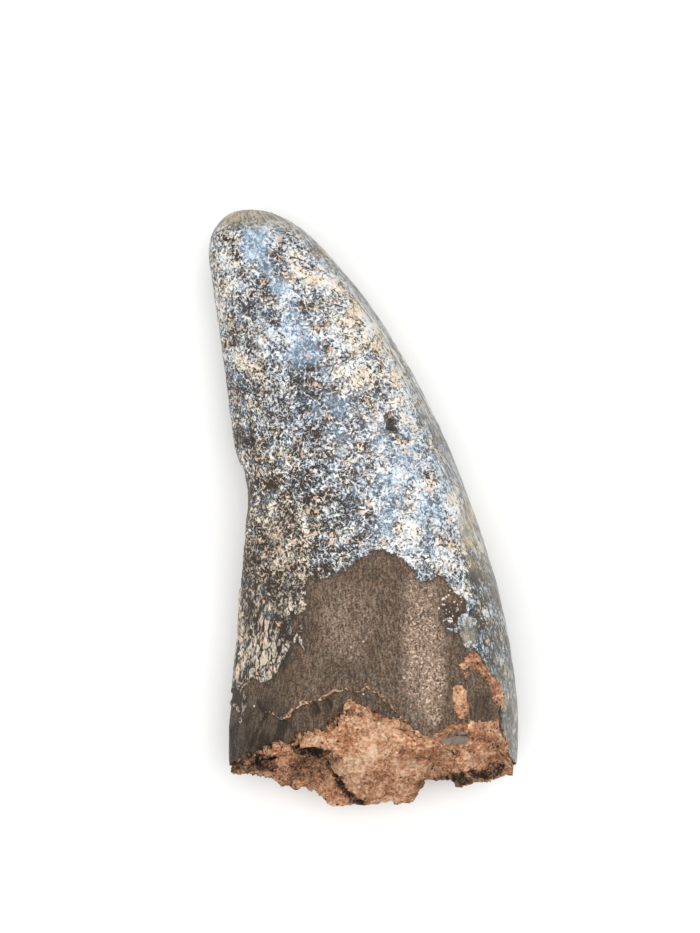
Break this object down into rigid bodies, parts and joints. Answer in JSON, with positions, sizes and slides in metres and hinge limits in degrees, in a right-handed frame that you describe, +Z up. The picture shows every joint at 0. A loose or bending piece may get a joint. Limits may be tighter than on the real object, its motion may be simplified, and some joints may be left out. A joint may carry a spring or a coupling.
{
  "type": "fossil ceratosaurid tooth",
  "caption": "Fossil ceratosaurid tooth crown lying on its flatter face, with flaking enamel, bare dentine and a base filled with orange sandstone.",
  "frame": {"origin": "on the resting surface, under the middle of the tooth's box", "axes": "+Y toward the tip, +X toward the front edge, +Z up out of the outer face"},
  "size_m": [0.0248, 0.0478, 0.0127],
  "materials": {
    "enamel_and_dentine": "satin fossil enamel, mottled cream, blue-grey and dark brown, flaked off brown dentine",
    "sandstone": "rough orange-brown granular sandstone"
  },
  "bodies": {
    "root": {"tooth_crown": "enamel_and_dentine", "sandstone_plug": "sandstone"}
  },
  "joints": []
}
